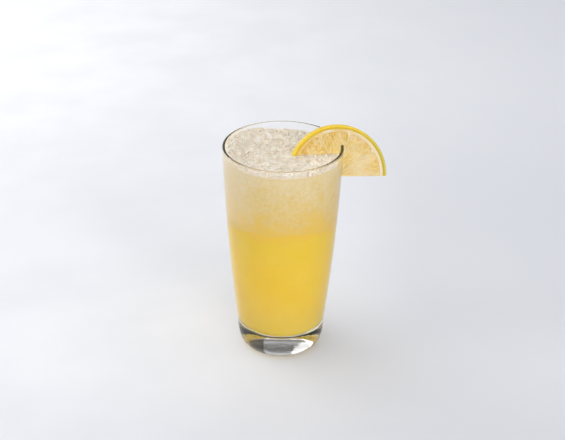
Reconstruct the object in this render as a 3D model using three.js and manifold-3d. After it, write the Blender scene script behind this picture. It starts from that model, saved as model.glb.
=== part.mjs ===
// A tall tumbler of iced lemonade with half a lemon slice hung on its rim.
// Millimetres, +Z up. The origin is the centre of the glass's flat underside, the slice
// hangs on the rim's +X side and its face looks towards -Y.

import * as THREE from "three";
import { mergeVertices } from "three/addons/utils/BufferGeometryUtils.js";
import Module from "manifold-3d";

const wasm = await Module();
wasm.setup();

// Driving sizes of the glass
const glassHeight = 150;
const rimRadius = 40;
const wallDraw = 4.7; // straight part of what the wall draws in from rim to base
const wallBelly = 7.5; // curved part of it
const footRadius = 22.2; // flat disc that it stands on
const heelHeight = 19.2; // height of the rounded heel above that disc
const heelFullness = 2.4; // 2 is a quarter ellipse, more is fuller
const wallAtRim = 2;
const wallThickening = 0.8; // how much thicker the wall is at the base
const floorThickness = 17;
const floorFillet = 6;

// Driving sizes of the drink
const lemonadeLevel = 99.5; // where the ice starts, on average
const levelLean = 3; // it stands higher at the front and back than at the sides
const iceLevel = 144.5; // top of the packed ice, without its bumps
const iceCrest = 145.7; // no crumb of ice stands above this
const gap = 0.3; // clearance between neighbouring pieces

// Driving sizes of the lemon slice
const sliceRadius = 32.8;
const sliceThickness = 5.5;
const sliceDrop = 1.1; // the cut passes this far below the fruit's centre
const cutSlope = 2.2; // degrees that the cut falls towards the end outside the glass
const zestThickness = 2.1;
const pithThickness = 2.5;
const membrane = 0.8;
const coreRadius = 2.6;
const segmentCount = 9; // in the whole fruit
const segmentTurn = 32; // degrees, where one membrane lies
const fleshDepth = 0.4; // the flesh is sunk this far into each face
const sliceCentre = new THREE.Vector3(36.1, -4.9, 131.6);
const sliceTurn = 8; // degrees about the glass's axis
const sliceTilt = 18; // degrees that the face leans back

// Fineness of the facets
const aroundGlass = 60;
const iceRings = 14;
const aroundDrink = 6 * iceRings;
const chipCount = 120;

const degrees = Math.PI / 180;

function outerRadius(z) {
  const down = 1 - z / glassHeight;
  return rimRadius - wallDraw * down - wallBelly * down * down;
}

function innerRadius(z) {
  return outerRadius(z) - wallAtRim - wallThickening * (1 - z / glassHeight);
}

// count + 1 numbers from a to b, both included
function steps(a, b, count) {
  return Array.from({ length: count + 1 }, (_, i) => a + ((b - a) * i) / count);
}

// Repeatable random numbers between 0 and 1
function seededRandom(seed) {
  let state = seed >>> 0;
  return () => {
    state = (state + 0x6d2b79f5) >>> 0;
    let mixed = Math.imul(state ^ (state >>> 15), state | 1);
    mixed ^= mixed + Math.imul(mixed ^ (mixed >>> 7), mixed | 61);
    return ((mixed ^ (mixed >>> 14)) >>> 0) / 2 ** 32;
  };
}

// Smooth bumps between -1 and 1, whose period is about 2 pi times the grain
function bumps(x, y, z, grain) {
  const a = Math.sin(x / grain + 1.7 * Math.sin((y - z) / (1.3 * grain)));
  const b = Math.sin((y + z) / grain + 1.9 * Math.cos(x / (1.4 * grain) + 0.8));
  return (a + b) / 2;
}

// Closed mesh to solid, and back
function toSolid(geometry) {
  const bare = geometry.clone();
  bare.deleteAttribute("normal");
  bare.deleteAttribute("uv");
  const merged = mergeVertices(bare, 1e-4);
  return new wasm.Manifold(
    new wasm.Mesh({
      numProp: 3,
      vertProperties: new Float32Array(merged.attributes.position.array),
      triVerts: new Uint32Array(merged.index.array),
    }),
  );
}

function toGeometry(solid) {
  const mesh = solid.getMesh();
  const geometry = new THREE.BufferGeometry();
  geometry.setAttribute("position", new THREE.BufferAttribute(mesh.vertProperties, 3));
  geometry.setIndex(new THREE.BufferAttribute(mesh.triVerts, 1));
  geometry.computeVertexNormals();
  return geometry;
}

// A profile of [radius, height] pairs turned about the Z axis
function turned(profile, around) {
  const points = profile.map(([r, z]) => new THREE.Vector2(r, z));
  return new THREE.LatheGeometry(points, around).rotateX(Math.PI / 2);
}

// The wall from one height up over the rim and down again inside, grown by so much
function wallProfile(bottom, rows, grow) {
  const half = wallAtRim / 2;
  const shoulder = glassHeight - half;
  const middle = outerRadius(shoulder) - half;
  const outside = steps(bottom, shoulder, rows).map((z) => [outerRadius(z) + grow, z]);
  const rim = steps(0, 180, 6)
    .slice(1, -1)
    .map((a) => [
      middle + (half + grow) * Math.cos(a * degrees),
      shoulder + (half + grow) * Math.sin(a * degrees),
    ]);
  const inside = steps(shoulder, bottom, rows).map((z) => [innerRadius(z) - grow, z]);
  return { outside, rim, inside };
}

function glassGeometry() {
  const heelReach = outerRadius(heelHeight) - footRadius;
  const curve = 2 / heelFullness;
  const heel = steps(0, 90, 7)
    .slice(0, -1)
    .map((a) => [
      footRadius + heelReach * Math.sin(a * degrees) ** curve,
      heelHeight * (1 - Math.cos(a * degrees) ** curve),
    ]);
  const { outside, rim } = wallProfile(heelHeight, 6, 0);
  const bowlStart = floorThickness + floorFillet;
  const { inside } = wallProfile(bowlStart, 6, 0);
  const fillet = filletProfile(0).reverse().slice(1);
  return turned(
    [[0, 0], ...heel, ...outside, ...rim, ...inside, ...fillet, [0, floorThickness]],
    aroundGlass,
  );
}

// The rounded corner of the glass's inner floor, from the floor up, drawn in by so much
function filletProfile(inset) {
  const height = floorThickness + floorFillet;
  const middle = innerRadius(height) - floorFillet;
  const radius = floorFillet - inset;
  return steps(-90, 0, 3).map((a) => [
    middle + radius * Math.cos(a * degrees),
    height + radius * Math.sin(a * degrees),
  ]);
}

// Height of the uneven level between lemonade and ice, at an angle about the axis
function levelAt(angle) {
  const lean = -levelLean * Math.cos(2 * angle);
  const ripple = 0.8 * Math.sin(5 * angle + 0.6) + 0.5 * Math.sin(9 * angle + 2.1);
  return lemonadeLevel + lean + ripple;
}

// Triangles of the band between two rings of points, whose counts may differ. A ring may be
// a single point. The numbers given are the places of each ring's first point.
function band(low, lowCount, high, highCount) {
  const lowEnd = lowCount > 1 ? lowCount : 0;
  const highEnd = highCount > 1 ? highCount : 0;
  const triangles = [];
  let i = 0;
  let j = 0;
  while (i < lowEnd || j < highEnd) {
    const stepLow = j === highEnd || (i < lowEnd && (i + 1) / lowEnd <= (j + 1) / highEnd);
    const lowNow = low + (i % lowCount);
    const highNow = high + (j % highCount);
    if (stepLow) {
      i += 1;
      triangles.push(lowNow, low + (i % lowCount), highNow);
    } else {
      j += 1;
      triangles.push(lowNow, high + (j % highCount), highNow);
    }
  }
  return triangles;
}

// A closed body from rings of points, from the lowest to the highest round its outside. The
// first and the last ring are single points.
function closedStack(rings) {
  const triangles = [];
  let start = 0;
  for (let i = 0; i + 1 < rings.length; i++) {
    const next = start + rings[i].length;
    triangles.push(...band(start, rings[i].length, next, rings[i + 1].length));
    start = next;
  }
  const geometry = new THREE.BufferGeometry();
  geometry.setAttribute("position", new THREE.Float32BufferAttribute(rings.flat(2), 3));
  geometry.setIndex(triangles);
  geometry.computeVertexNormals();
  return geometry;
}

// One ring of points about the axis, from a function of the angle that gives [radius, height]
function ringOf(count, at) {
  return steps(0, 2 * Math.PI, count)
    .slice(0, -1)
    .map((angle) => {
      const [r, z] = at(angle);
      return [r * Math.cos(angle), r * Math.sin(angle), z];
    });
}

function lemonadeGeometry() {
  const bowl = filletProfile(gap).map(([r, z]) => ringOf(aroundDrink, () => [r, z]));
  const wallFoot = floorThickness + floorFillet;
  const wall = steps(0, 1, 5)
    .slice(1)
    .map((share) =>
      ringOf(aroundDrink, (angle) => {
        const z = wallFoot + (levelAt(angle) - gap / 2 - wallFoot) * share;
        return [innerRadius(z) - gap, z];
      }),
    );
  const floorPoint = [[0, 0, floorThickness + gap]];
  return closedStack([floorPoint, ...bowl, ...wall, [[0, 0, lemonadeLevel - gap / 2]]]);
}

// The packed ice without its chips. It has dents of a crumb's size where it meets the wall,
// and bumps on top.
function iceCore() {
  const wallRows = 9;
  const wall = steps(0, 1, wallRows).map((share) =>
    ringOf(aroundDrink, (angle) => {
      const foot = levelAt(angle) + gap / 2;
      const z = foot + (iceLevel - foot) * share;
      const reach = innerRadius(z) - gap;
      const rough = bumps(reach * Math.cos(angle), reach * Math.sin(angle), z, 1.6);
      const dent = share > 0 && share < 1 ? 0.35 * (1 + rough) : 0;
      return [reach - dent, z];
    }),
  );
  const brim = innerRadius(iceLevel) - gap;
  const top = steps(iceRings - 1, 1, iceRings - 2).map((i) =>
    ringOf(6 * i, (angle) => {
      const r = (brim * i) / iceRings;
      return [r, iceLevel + 0.6 * bumps(r * Math.cos(angle), r * Math.sin(angle), 0, 1.1)];
    }),
  );
  return closedStack([[[0, 0, lemonadeLevel + gap / 2]], ...wall, ...top, [[0, 0, iceLevel]]]);
}

// Puts a shape from the slice's own frame, whose X and Y lie in the cut face with the
// fruit's centre at 0 and whose Z points out of that face, where the slice hangs
const slicePose = new THREE.Group();
slicePose.position.copy(sliceCentre);
slicePose.rotation.set((90 - sliceTilt) * degrees, 0, sliceTurn * degrees, "ZXY");
slicePose.updateMatrixWorld();

// Rather more than half a disc, cut off flat below the fruit's centre and grown by so much
function sliceBlank(grow) {
  const radius = sliceRadius + grow;
  const dip = Math.asin((sliceDrop + grow) / radius);
  const slope = cutSlope * degrees;
  const outline = new THREE.Shape();
  outline.absarc(0, 0, radius, -dip - slope, Math.PI + dip - slope, false);
  outline.closePath();
  const depth = sliceThickness + 2 * grow;
  const geometry = new THREE.ExtrudeGeometry(outline, {
    depth,
    bevelEnabled: false,
    curveSegments: 44,
  });
  return geometry.translate(0, 0, grow - depth);
}

// The flesh of one segment: straight sides along two membranes, round corners at the pith
function segmentOutline(index) {
  const from = (segmentTurn + (360 * index) / segmentCount) * degrees;
  const to = from + (2 * Math.PI) / segmentCount;
  const fleshRadius = sliceRadius - zestThickness - pithThickness;
  const corner = 3;
  const side = (angle, along, offset) => [
    along * Math.cos(angle) - offset * Math.sin(angle),
    along * Math.sin(angle) + offset * Math.cos(angle),
  ];
  const turn = (corner + membrane / 2) / fleshRadius;
  const outline = new THREE.Shape();
  outline.moveTo(...side(from, coreRadius, membrane / 2));
  outline.lineTo(...side(from, fleshRadius - corner, membrane / 2));
  outline.quadraticCurveTo(
    ...side(from, fleshRadius, membrane / 2),
    ...side(from + turn, fleshRadius, 0),
  );
  outline.absarc(0, 0, fleshRadius, from + turn, to - turn, false);
  outline.quadraticCurveTo(
    ...side(to, fleshRadius, -membrane / 2),
    ...side(to, fleshRadius - corner, -membrane / 2),
  );
  outline.lineTo(...side(to, coreRadius, -membrane / 2));
  outline.closePath();
  return outline;
}

// The slice in its own frame: flesh a little below rind and membranes on both faces, and a
// slit that straddles the glass's wall
function sliceSolid() {
  const past = 1; // how far a cutting body stands out of the face
  const depth = fleshDepth + past;
  let slice = toSolid(sliceBlank(0));
  for (const index of [-1, 0, 1, 2, 3]) {
    for (const bottom of [-fleshDepth, -sliceThickness - past]) {
      const flesh = new THREE.ExtrudeGeometry(segmentOutline(index), {
        depth,
        bevelEnabled: false,
        curveSegments: 4,
      });
      slice = slice.subtract(toSolid(flesh.translate(0, 0, bottom)));
    }
  }
  const { outside, rim, inside } = wallProfile(120, 4, gap);
  const wall = turned([...outside, ...rim, ...inside, outside[0]], aroundGlass);
  wall.applyMatrix4(slicePose.matrixWorld.clone().invert());
  return slice.subtract(toSolid(wall));
}

// An angular chip of ice: a squashed octahedron turned at random, a few millimetres across
function chipGeometry(random) {
  const size = 1.5 + random();
  const chip = new THREE.OctahedronGeometry(size, 0);
  chip.scale(1, 0.7 + 0.3 * random(), 0.45 + 0.3 * random());
  chip.rotateX(0.9 * random());
  chip.rotateY(0.9 * random());
  chip.rotateZ(2 * Math.PI * random());
  chip.computeBoundingBox();
  return chip;
}

// The ice with chips spread over its top by the golden angle, clear of the slice, and with
// a pocket that the slice's lower corner stands in
function iceSolid() {
  const random = seededRandom(7);
  const goldenAngle = Math.PI * (3 - Math.sqrt(5));
  const chipReach = 2.6; // the largest chip's half width
  const spread = innerRadius(iceLevel) - gap - chipReach;
  const chips = [];
  for (let k = 0; k < chipCount; k++) {
    const chip = chipGeometry(random);
    const angle = goldenAngle * k + 0.3 * random();
    const r = spread * Math.sqrt((k + 0.5) / chipCount);
    const rise = chip.boundingBox.max.z;
    const height = Math.min(iceLevel + 0.5 * random(), iceCrest - rise);
    const place = new THREE.Vector3(r * Math.cos(angle), r * Math.sin(angle), height);
    const local = slicePose.worldToLocal(place.clone());
    const clearOfSlice =
      Math.hypot(local.x, local.y) > sliceRadius + chipReach ||
      local.z > chipReach ||
      local.z < -sliceThickness - chipReach;
    if (clearOfSlice) {
      chips.push(toSolid(chip.translate(place.x, place.y, place.z)));
    }
  }
  const core = toSolid(iceCore());
  const pocket = toSolid(sliceBlank(gap).applyMatrix4(slicePose.matrixWorld));
  return wasm.Manifold.union([core, ...chips]).subtract(pocket);
}

const finishes = {
  glass: new THREE.MeshStandardMaterial({
    color: 0xe9efee,
    roughness: 0.03,
    metalness: 0,
    transparent: true,
    opacity: 0.3,
  }),
  lemonade: new THREE.MeshStandardMaterial({ color: 0xe8c552, roughness: 0.15, metalness: 0 }),
  ice: new THREE.MeshStandardMaterial({ color: 0xe9ddc6, roughness: 0.35, metalness: 0 }),
  lemon: new THREE.MeshStandardMaterial({ color: 0xf0cf6a, roughness: 0.5, metalness: 0 }),
};

function named(name, geometry, finish) {
  const mesh = new THREE.Mesh(geometry, finish);
  mesh.name = name;
  return mesh;
}

const drinkGlass = new THREE.Group();
drinkGlass.add(named("glass", glassGeometry(), finishes.glass));
drinkGlass.add(named("lemonade", lemonadeGeometry(), finishes.lemonade));
drinkGlass.add(named("crushed_ice", toGeometry(iceSolid()), finishes.ice));
slicePose.add(named("lemon_slice", toGeometry(sliceSolid()), finishes.lemon));
drinkGlass.add(slicePose);

export default drinkGlass;
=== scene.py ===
"""A tumbler of iced lemonade with half a lemon slice on its rim, dressed and lit.

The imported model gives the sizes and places. Each of its plain solids is replaced by a fine
mesh of the same form, with a finish of its own.
"""

import logging
import math
from dataclasses import dataclass, field
from enum import Enum
from random import Random

import bmesh
import bpy
import numpy as np
from mathutils import Euler, Matrix, Vector
from mathutils.kdtree import KDTree


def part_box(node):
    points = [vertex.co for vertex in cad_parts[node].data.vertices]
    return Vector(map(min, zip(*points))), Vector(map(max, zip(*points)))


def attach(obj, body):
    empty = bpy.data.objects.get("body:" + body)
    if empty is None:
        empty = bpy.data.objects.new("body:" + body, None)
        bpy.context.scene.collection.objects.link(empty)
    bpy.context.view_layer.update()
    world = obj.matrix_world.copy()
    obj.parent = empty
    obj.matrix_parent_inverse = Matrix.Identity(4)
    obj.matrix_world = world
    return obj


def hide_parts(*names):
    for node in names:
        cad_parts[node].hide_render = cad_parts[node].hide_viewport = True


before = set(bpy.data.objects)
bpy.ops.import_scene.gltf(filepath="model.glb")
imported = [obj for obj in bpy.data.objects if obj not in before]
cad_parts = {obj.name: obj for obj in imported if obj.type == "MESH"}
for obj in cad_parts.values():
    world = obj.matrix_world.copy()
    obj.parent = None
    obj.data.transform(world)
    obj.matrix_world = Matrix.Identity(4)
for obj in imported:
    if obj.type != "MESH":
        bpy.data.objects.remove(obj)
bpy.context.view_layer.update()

log = logging.getLogger("lemonade")

MM = 0.001
BODY = "root"
SAME_POINT = 0.001 * MM

Array = np.ndarray
Colour = tuple[float, float, float, float]
Faces = list[tuple[int, ...]]
Material = bpy.types.Material
Node = bpy.types.Node
Object = bpy.types.Object
Socket = bpy.types.NodeSocket
Input = float | tuple[float, ...] | Socket

WHITE: Colour = (1.0, 1.0, 1.0, 1.0)
WATER_REFRACTION = 1.333
GLASS_REFRACTION = 1.5


class Slot(Enum):
    """The record's material slots."""

    GLASS = "glass"
    LEMONADE = "lemonade"
    ICE = "ice"
    ZEST = "lemon_zest"
    PITH = "lemon_pith"
    FLESH = "lemon_flesh"


def srgb(red: int, green: int, blue: int) -> Colour:
    """Turns a colour as a screen shows it into the linear one that shaders take.

    Args:
        red: Red, from 0 to 255.
        green: Green, from 0 to 255.
        blue: Blue, from 0 to 255.

    Returns:
        Linear red, green and blue, with an alpha of 1.
    """
    shares = [channel / 255 for channel in (red, green, blue)]
    linear = [s / 12.92 if s <= 0.04045 else ((s + 0.055) / 1.055) ** 2.4 for s in shares]
    return (*linear, 1.0)


def smooth_step(low: float, high: float, value: Array) -> Array:
    """Rises smoothly from 0 at low to 1 at high, and stays level beyond them."""
    share = np.clip((value - low) / (high - low), 0, 1)
    return share * share * (3 - 2 * share)


@dataclass(frozen=True)
class Ramp:
    """A level that goes smoothly from start to end while something goes from low to high."""

    low: float
    high: float
    start: float = 0.0
    end: float = 1.0


@dataclass(frozen=True)
class Mottle:
    """A blotchy mask: a noise with so many grains per metre, mapped by a ramp."""

    scale: float
    detail: float = 3.0
    warp: float = 0.0
    ramp: Ramp = Ramp(0.3, 0.7)


@dataclass(frozen=True)
class Pitting:
    """A fine uneven relief: its grains per metre, their finer layers, and its depth."""

    scale: float
    detail: float
    depth: float
    warp: float = 0.0


@dataclass(frozen=True)
class Glow:
    """How light spreads below a surface: how much of it, how far, and each colour's share."""

    weight: Input
    reach: float
    tint: tuple[float, float, float]

    def inputs(self) -> dict[str, Input]:
        """Gives the shader's inputs."""
        return {"Subsurface Weight": self.weight, "Subsurface Scale": self.reach,
                "Subsurface Radius": self.tint}


class NodeSheet:
    """Adds nodes to one node tree and joins them up."""

    def __init__(self, tree: bpy.types.NodeTree) -> None:
        """Takes the node tree of a material, a world or a group."""
        self.tree = tree

    def feed(self, node: Node, inputs: dict) -> None:
        """Sets a node's inputs.

        Args:
            node: The node.
            inputs: Input name or number to a constant or to the socket that feeds it.
        """
        for key, value in inputs.items():
            if isinstance(value, Socket):
                self.tree.links.new(value, node.inputs[key])
            else:
                node.inputs[key].default_value = value

    def node(self, kind: str, inputs: dict | None = None, **settings: object) -> Node:
        """Adds one node. Its settings come first, because they decide which inputs it has.

        Args:
            kind: The node's type name.
            inputs: Input name or number to a constant or to the socket that feeds it.
            **settings: The node's own settings.

        Returns:
            The new node.
        """
        made = self.tree.nodes.new(kind)
        for key, value in settings.items():
            setattr(made, key, value)
        self.feed(made, inputs or {})
        return made

    def math(self, operation: str, *values: Input) -> Socket:
        """Adds a Math node with these inputs."""
        made = self.node("ShaderNodeMath", dict(enumerate(values)), operation=operation)
        return made.outputs[0]

    def times(self, first: Input, second: Input) -> Socket:
        """Multiplies two values."""
        return self.math("MULTIPLY", first, second)

    def vector(self, operation: str, *values: Input) -> Node:
        """Adds a Vector Math node with these inputs."""
        return self.node("ShaderNodeVectorMath", dict(enumerate(values)), operation=operation)

    def ramp(self, value: Input, ramp: Ramp) -> Socket:
        """Maps a value by a ramp."""
        inputs = {0: value, 1: ramp.low, 2: ramp.high, 3: ramp.start, 4: ramp.end}
        return self.node("ShaderNodeMapRange", inputs, interpolation_type="SMOOTHSTEP").outputs[0]

    def blend(self, share: Input, first: Input, second: Input) -> Socket:
        """Mixes two colours, with this share of the second."""
        made = self.node("ShaderNodeMix", {0: share, 6: first, 7: second}, data_type="RGBA")
        return made.outputs[2]

    def curve(self, value: Input, stops: list[tuple[float, float]]) -> Socket:
        """Maps a value along a line of stops.

        Args:
            value: What is mapped, from 0 to 1.
            stops: Each stop's place and the level there.

        Returns:
            The level's socket.
        """
        made = self.node("ShaderNodeValToRGB", {0: value})
        ramp = made.color_ramp
        while len(ramp.elements) < len(stops):
            ramp.elements.new(1.0)
        for element, (place, level) in zip(ramp.elements, stops):
            element.position, element.color = place, (level, level, level, 1.0)
        return made.outputs[0]

    def place(self) -> Socket:
        """Gives the point's place on its own object, in metres."""
        return self.node("ShaderNodeTexCoord").outputs["Object"]

    def along(self, axis: str, place: Socket | None = None) -> Socket:
        """Gives the X, Y or Z of a place, by default the point's own."""
        source = self.place() if place is None else place
        return self.node("ShaderNodeSeparateXYZ", {0: source}).outputs[axis]

    def from_axis(self) -> Socket:
        """Gives the point's distance from its object's Z axis, in metres."""
        flat = self.vector("MULTIPLY", self.place(), (1.0, 1.0, 0.0)).outputs[0]
        return self.vector("LENGTH", flat).outputs["Value"]

    def paint(self, name: str) -> Socket:
        """Gives a value that the mesh carries at its points."""
        return self.node("ShaderNodeAttribute", attribute_name=name).outputs["Fac"]

    def noise(self, look: Mottle | Pitting) -> Socket:
        """Adds a noise over the surface, whose values lie round a half."""
        inputs = {"Vector": self.place(), "Scale": look.scale, "Detail": look.detail,
                  "Distortion": look.warp}
        return self.node("ShaderNodeTexNoise", inputs).outputs[0]

    def mottle(self, look: Mottle) -> Socket:
        """Adds a blotchy mask."""
        return self.ramp(self.noise(look), look.ramp)

    def pitting(self, look: Pitting) -> Socket:
        """Adds a fine relief and gives the bent normal."""
        return self.bump(self.noise(look), look.depth)

    def seams(self, scale: float, sway: float = 0.8) -> Socket:
        """Splits the surface into cells and gives how far each point is from their seams.

        Args:
            scale: Cells per metre.
            sway: How far the seams are bent, as a share of a cell's width.

        Returns:
            The distance's socket, as a share of a cell's width.
        """
        inputs = {"Vector": self.place(), "Scale": scale, "Detail": 2.0}
        bend = self.node("ShaderNodeTexNoise", inputs)
        reach = (sway / scale,) * 3
        bent = self.vector("MULTIPLY_ADD", bend.outputs["Color"], reach, self.place()).outputs[0]
        inputs = {"Vector": bent, "Scale": scale}
        made = self.node("ShaderNodeTexVoronoi", inputs, feature="DISTANCE_TO_EDGE")
        return made.outputs["Distance"]

    def bump(self, height: Input, depth: float, under: Socket | None = None) -> Socket:
        """Adds a bump.

        Args:
            height: The relief, from 0 to 1.
            depth: How deep it is, in metres.
            under: The normal of a coarser bump that it lies on.

        Returns:
            The bent normal's socket.
        """
        inputs = {"Height": height, "Distance": depth, "Strength": 1.0}
        if under is not None:
            inputs["Normal"] = under
        return self.node("ShaderNodeBump", inputs).outputs[0]

    def surface_mix(self, share: Socket, first: Node, second: Node) -> None:
        """Puts a mix of two shaders on the material's surface.

        Args:
            share: How much of the second shows, from 0 to 1.
            first: The first shader.
            second: The second shader.
        """
        mixed = self.node("ShaderNodeMixShader", {
            0: share, 1: first.outputs[0], 2: second.outputs[0],
        })
        output = next(n for n in self.tree.nodes if n.type == "OUTPUT_MATERIAL")
        self.feed(output, {"Surface": mixed.outputs[0]})


def new_material(name: str) -> tuple[Material, NodeSheet, Node]:
    """Starts a material with one Principled shader.

    Args:
        name: The material's name.

    Returns:
        The material, the sheet of its nodes and the shader.
    """
    made = bpy.data.materials.new(name)
    made.use_nodes = True
    made.node_tree.nodes.clear()
    sheet = NodeSheet(made.node_tree)
    shader = sheet.node("ShaderNodeBsdfPrincipled")
    sheet.node("ShaderNodeOutputMaterial", {"Surface": shader.outputs[0]})
    return made, sheet, shader


def seen_through_glass(sheet: NodeSheet, shader: Node) -> None:
    """Gives a surface that wets the glass the mirror that glass makes of it at a low angle.

    Light inside the glass that meets water flatter than the critical angle can't get in, so
    there the glass looks empty and clear.

    Args:
        sheet: The sheet of the material's nodes.
        shader: The shader of the surface itself.
    """
    share = sheet.node("ShaderNodeFresnel", {"IOR": WATER_REFRACTION / GLASS_REFRACTION})
    mirror = sheet.node("ShaderNodeBsdfGlossy", {"Color": WHITE, "Roughness": 0.0})
    sheet.surface_mix(share.outputs[0], shader, mirror)


class SpeckleGroup:
    """A shader node group of fine specks, such as pores, bubbles or pulp."""

    name = "specks"

    def tree(self) -> bpy.types.NodeTree:
        """Builds the group, or gives the one that is there.

        Returns:
            The group's tree. Its inputs are Place, Grains and Size, its output is Specks.
        """
        if self.name in bpy.data.node_groups:
            return bpy.data.node_groups[self.name]
        tree = bpy.data.node_groups.new(self.name, "ShaderNodeTree")
        for label, kind in (("Place", "Vector"), ("Grains", "Float"), ("Size", "Float")):
            tree.interface.new_socket(label, in_out="INPUT", socket_type=f"NodeSocket{kind}")
        tree.interface.new_socket("Specks", in_out="OUTPUT", socket_type="NodeSocketFloat")
        sheet = NodeSheet(tree)
        source = sheet.node("NodeGroupInput")
        inputs = {"Vector": source.outputs["Place"], "Scale": source.outputs["Grains"]}
        cells = sheet.node("ShaderNodeTexVoronoi", inputs)
        ranges = {0: cells.outputs["Distance"], 1: 0.0, 2: source.outputs["Size"], 3: 1.0, 4: 0.0}
        specks = sheet.node("ShaderNodeMapRange", ranges, interpolation_type="SMOOTHSTEP")
        sheet.node("NodeGroupOutput", {"Specks": specks.outputs[0]})
        return tree

    def on(self, sheet: NodeSheet, grains: float, size: float) -> Socket:
        """Places the group in a material.

        Args:
            sheet: The sheet of the material's nodes.
            grains: Specks per metre.
            size: A speck's width as a share of its cell.

        Returns:
            The specks' mask.
        """
        inputs = {"Place": sheet.place(), "Grains": grains, "Size": size}
        placed = sheet.node("ShaderNodeGroup", inputs, node_tree=self.tree())
        return placed.outputs["Specks"]


@dataclass(frozen=True)
class ClearGlass:
    """Clear pressed glass that lets the lamps through, and is less even in its base."""

    ripple: Pitting = Pitting(60, 1.0, 0.02 * MM)
    base_ripple: Pitting = Pitting(340, 2.0, 0.05 * MM, 0.5)
    base_height: Ramp = Ramp(13.2 * MM, 22 * MM, 1.0, 0.0)

    def material(self) -> Material:
        """Builds the material.

        Returns:
            The new material.
        """
        made, sheet, shader = new_material("clear_glass")
        share = sheet.ramp(sheet.along("Z"), self.base_height)
        uneven = sheet.times(sheet.noise(self.base_ripple), share)
        normal = sheet.bump(uneven, self.base_ripple.depth, sheet.pitting(self.ripple))
        sheet.feed(shader, {
            "Base Color": WHITE, "Roughness": 0.0, "IOR": GLASS_REFRACTION,
            "Transmission Weight": 1.0, "Normal": normal,
        })
        rays = sheet.node("ShaderNodeLightPath")
        clear = sheet.node("ShaderNodeBsdfTransparent")
        sheet.surface_mix(rays.outputs["Is Shadow Ray"], shader, clear)
        return made


@dataclass(frozen=True)
class CloudyLemonade:
    """Cloudy lemonade, a little deeper in colour low down and paler where the ice starts."""

    upper: Colour = srgb(238, 203, 48)
    lower: Colour = srgb(232, 200, 76)
    melt: Colour = srgb(238, 198, 68)
    pulp: Colour = srgb(244, 220, 120)
    upper_height: Ramp = Ramp(20 * MM, 60 * MM)
    clouds: Mottle = Mottle(45, 3.0, 1.0, Ramp(0.3, 0.7, 0.0, 0.12))
    melt_height: Ramp = Ramp(93 * MM, 101 * MM)
    melt_sway: Mottle = Mottle(140, ramp=Ramp(0.3, 0.7, -3 * MM, 3 * MM))
    dulling: Ramp = Ramp(70 * MM, 93 * MM, 0.8, 0.0)
    glow_reach: float = 22 * MM
    glow_tint: tuple[float, float, float] = (1.0, 0.7, 0.2)

    def material(self) -> Material:
        """Builds the material.

        Returns:
            The new material.
        """
        made, sheet, shader = new_material("cloudy_lemonade")
        height = sheet.along("Z")
        colour = sheet.blend(sheet.ramp(height, self.upper_height), self.lower, self.upper)
        colour = sheet.blend(sheet.mottle(self.clouds), colour, self.pulp)
        swayed = sheet.math("ADD", height, sheet.mottle(self.melt_sway))
        colour = sheet.blend(sheet.ramp(swayed, self.melt_height), colour, self.melt)
        glow = Glow(sheet.ramp(height, self.dulling), self.glow_reach, self.glow_tint)
        sheet.feed(shader, {
            "Base Color": colour, "Roughness": 0.4, "Specular IOR Level": 0.0, **glow.inputs(),
        })
        seen_through_glass(sheet, shader)
        return made


class IceFaces(Enum):
    """Which faces of the ice a finish is for."""

    IN_GLASS = "the sides, which are seen through the glass"
    OPEN = "the top and the crumbs"


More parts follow.
